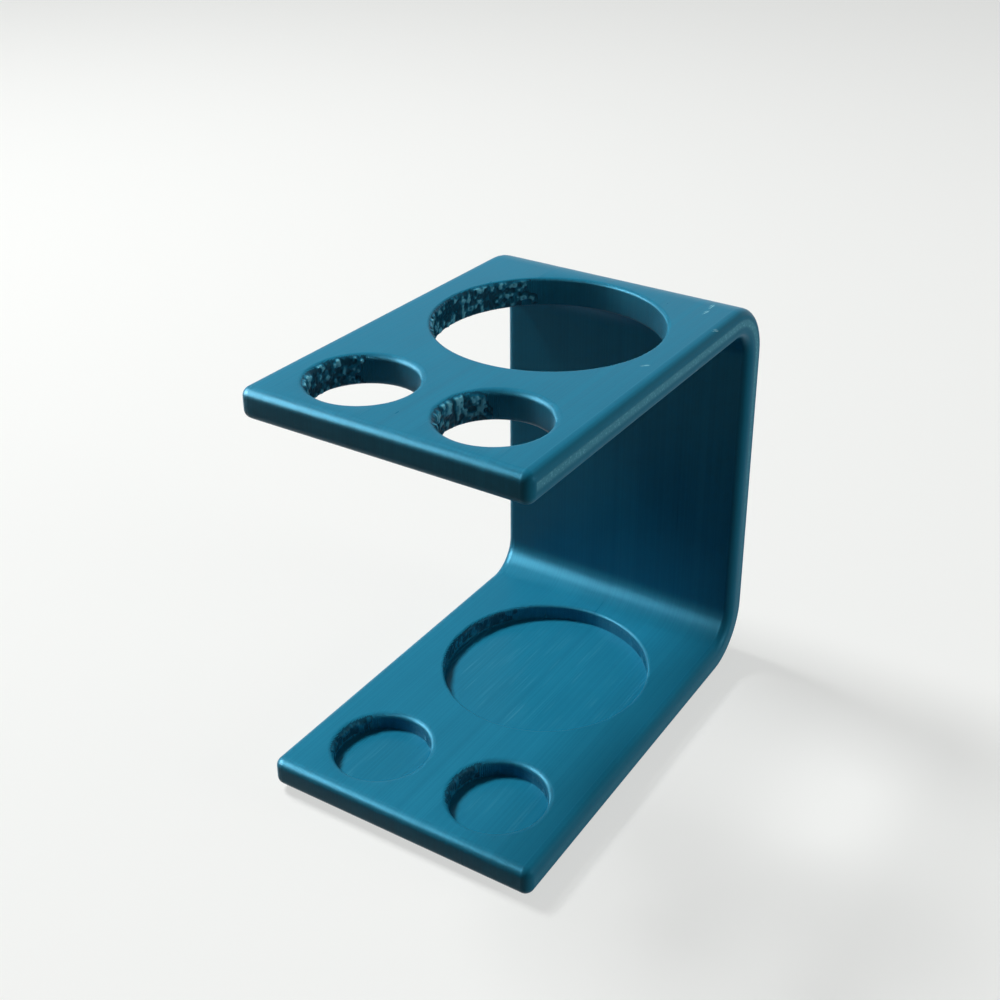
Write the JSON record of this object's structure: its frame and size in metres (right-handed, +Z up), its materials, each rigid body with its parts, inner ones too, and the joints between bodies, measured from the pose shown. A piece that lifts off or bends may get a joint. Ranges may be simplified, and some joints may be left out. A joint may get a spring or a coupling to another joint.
{
  "type": "toothbrush holder",
  "caption": "C-shaped counter holder: a shelf with brush holes and a tube hole over a base with matching shallow seats, joined by a rounded back, on rubber feet.",
  "frame": {"origin": "on the surface that the feet stand on, midway across the width and the depth", "axes": "+Z up; -Y is the open front that a user faces, +Y the back; +X to the right of someone facing the front"},
  "size_m": [0.055, 0.084, 0.0815],
  "materials": {
    "printed_plastic": "satin petrol blue, with fine print layers across the width",
    "foot_rubber": "matt black"
  },
  "bodies": {
    "root": {"holder_body": "printed_plastic", "foot_front_left": "foot_rubber", "foot_front_right": "foot_rubber", "foot_rear_left": "foot_rubber", "foot_rear_right": "foot_rubber"}
  },
  "joints": []
}
